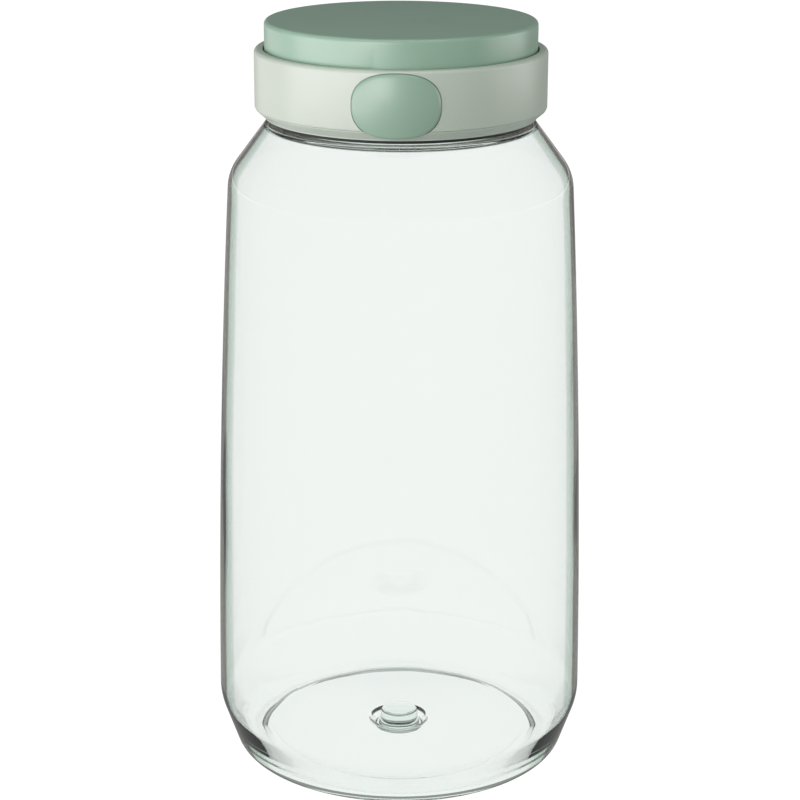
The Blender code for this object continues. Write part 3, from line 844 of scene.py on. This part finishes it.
def emitter(name, location, size, strength, color=(1, 1, 1)):
    data = bpy.data.lights.new(name, "AREA")
    data.shape = "RECTANGLE"
    data.size, data.size_y = size
    data.energy = strength
    data.color = color
    lamp = bpy.data.objects.new(name, data)
    lamp.location = location
    lamp.rotation_euler = (Vector(LAMP_TARGET) - Vector(location)).to_track_quat("-Z", "Y").to_euler()
    bpy.context.scene.collection.objects.link(lamp)
    lamp.visible_camera = False
    return lamp


def floor_card(name, tone):
    """A grey floor for bounced light only: it keeps the opaque parts from being lit evenly from below."""
    maker = bmesh.new()
    bmesh.ops.create_circle(maker, cap_ends=True, segments=64, radius=CARD_RADIUS)
    card = built(name, maker)
    card.location.z = 0.00005
    card.data.materials.append(glow_material(name + "_tone", tone))
    card.visible_camera = False
    card.visible_transmission = False
    card.visible_shadow = False


def sky_dome(name):
    """A plain white backdrop behind the floor's edge, seen directly and through clear plastic only."""
    maker = bmesh.new()
    bmesh.ops.create_uvsphere(maker, u_segments=96, v_segments=48, radius=DOME_RADIUS)
    dome = built(name, maker)
    dome.data.materials.append(glow_material(name + "_tone", (1, 1, 1)))
    dome.visible_diffuse = False
    dome.visible_glossy = False
    dome.visible_shadow = False


def glow_material(name, tone):
    material, nodes, links, shader = node_setup(name)
    shader.inputs["Base Color"].default_value = (0, 0, 0, 1)
    shader.inputs["Specular IOR Level"].default_value = 0.0
    shader.inputs["Emission Color"].default_value = (*tone, 1)
    shader.inputs["Emission Strength"].default_value = 1.0
    return material


def make_studio():
    maker = bmesh.new()
    bmesh.ops.create_circle(maker, cap_ends=True, segments=96, radius=FLOOR_RADIUS)
    floor = built("floor", maker)
    floor.location.z = -0.0002
    material, nodes, links, shader = node_setup("pale_floor")
    shader.inputs["Base Color"].default_value = (0.2, 0.2, 0.2, 1)
    shader.inputs["Roughness"].default_value = 0.9
    shader.inputs["Specular IOR Level"].default_value = 0.0
    shader.inputs["Emission Color"].default_value = (1, 1, 1, 1)
    shader.inputs["Emission Strength"].default_value = FLOOR_GLOW
    floor.data.materials.append(material)
    world = bpy.data.worlds.new("studio")
    bpy.context.scene.world = world
    world.use_nodes = True
    world.node_tree.nodes["Background"].inputs["Color"].default_value = (1, 1, 1, 1)
    world.node_tree.nodes["Background"].inputs["Strength"].default_value = WORLD_STRENGTH
    lamps = [
        emitter("panel_left", (-0.56, -0.34, 0.20), (0.9, 0.42), 4.0, (1.0, 0.90, 0.96)),
        emitter("rim_left", (-0.55, 0.38, 0.12), (0.5, 0.25), 0.35, (1.0, 0.90, 0.95)),
        emitter("front_fill", (-0.42, -1.25, 0.50), (0.6, 0.6), 7.9, (1.0, 0.96, 0.98)),
        emitter("side_right", (1.04, 0.20, 0.30), (0.9, 0.8), 5.6, (1.0, 0.97, 0.97)),
        emitter("edge_strip", (0.0, -0.28, 1.10), (1.0, 0.05), 2.6),
    ]
    for lamp in lamps:
        lamp.light_linking.receiver_collection = LIT
    floor_card("negative_fill", (0.30, 0.31, 0.30))
    sky_dome("backdrop")
    bpy.context.scene.view_settings.view_transform = "Standard"


def make_camera():
    """At the photograph's angle: about 2 degrees to the right of the button's axis, 18 degrees down."""
    data = bpy.data.cameras.new("camera")
    data.lens = 103.05
    data.sensor_width = 36
    data.clip_start = 0.05
    camera = bpy.data.objects.new("camera", data)
    place = Matrix.Translation((0, -VIEW_DISTANCE, VIEW_HEIGHT))
    turn = Matrix.Rotation(VIEW_AZIMUTH, 4, "Z") @ place
    tilt = Matrix.Rotation(math.pi / 2 - VIEW_PITCH, 4, "X") @ Matrix.Rotation(VIEW_ROLL, 4, "Z")
    camera.matrix_world = turn @ tilt
    bpy.context.scene.collection.objects.link(camera)
    bpy.context.scene.camera = camera


LIT = bpy.data.collections.new("lit_parts")
make_camera()
make_studio()
pale = moulded_plastic("pale_green_moulded", (0.440, 0.515, 0.436), 0.36)
sage = moulded_plastic("sage_moulded", (0.250, 0.400, 0.298), 0.32)
sage_button = moulded_plastic("sage_button_moulded", (0.250, 0.385, 0.290), 0.36)
white = moulded_plastic("white_inner_moulded", (0.78, 0.79, 0.77), 0.45)
rubber = silicone("clear_silicone")
steel = drawn_steel("drawn_steel")
make_jar()
make_collar(pale)
make_band(pale)
make_lid_cap(sage)
make_lid_inner(white)
make_rings(rubber)
# Painted shade: near-black greens for the ring that stands in for the shade in the gap under the collar
make_painted_shade_ring(silicone("painted_shade_dark", (0.010, 0.018, 0.014), (0.018, 0.028, 0.022)))
make_button(sage_button)
make_slider(white)
make_metal(steel)
